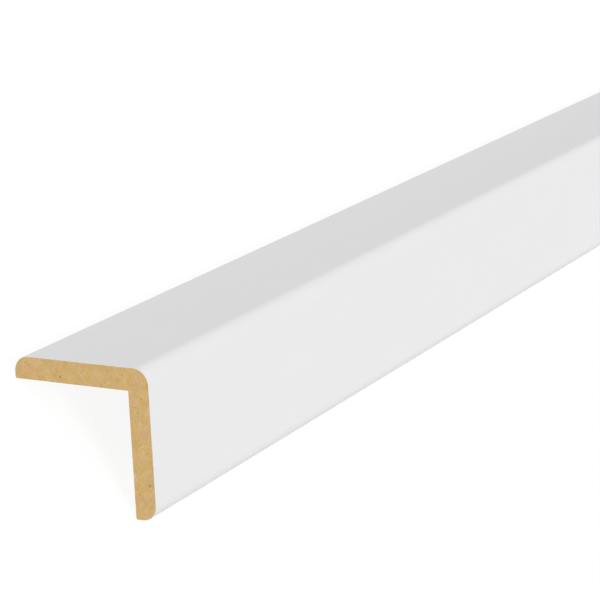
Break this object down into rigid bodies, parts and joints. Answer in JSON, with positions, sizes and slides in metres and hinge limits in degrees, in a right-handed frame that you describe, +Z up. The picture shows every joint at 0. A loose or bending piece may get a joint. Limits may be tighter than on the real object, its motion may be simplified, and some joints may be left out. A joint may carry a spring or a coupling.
{
  "type": "corner guard moulding",
  "caption": "Straight L-section corner guard moulding of white foil-wrapped fibreboard, with a rounded outer corner and edges, glued over an outside wall corner.",
  "frame": {"origin": "on the floor, at the middle of the moulding's footprint", "axes": "+Y along the length, +Z up through the outer corner, +X across towards the right leg"},
  "size_m": [0.0438, 1, 0.0253],
  "materials": {
    "foil_wrapped_mdf": "plain white decor foil, satin, wrapped over the outer faces of the fibreboard",
    "raw_mdf": "bare fibreboard, milled on the glue faces and sawn on the ends"
  },
  "bodies": {
    "root": {"corner_moulding": "foil_wrapped_mdf"}
  },
  "joints": []
}
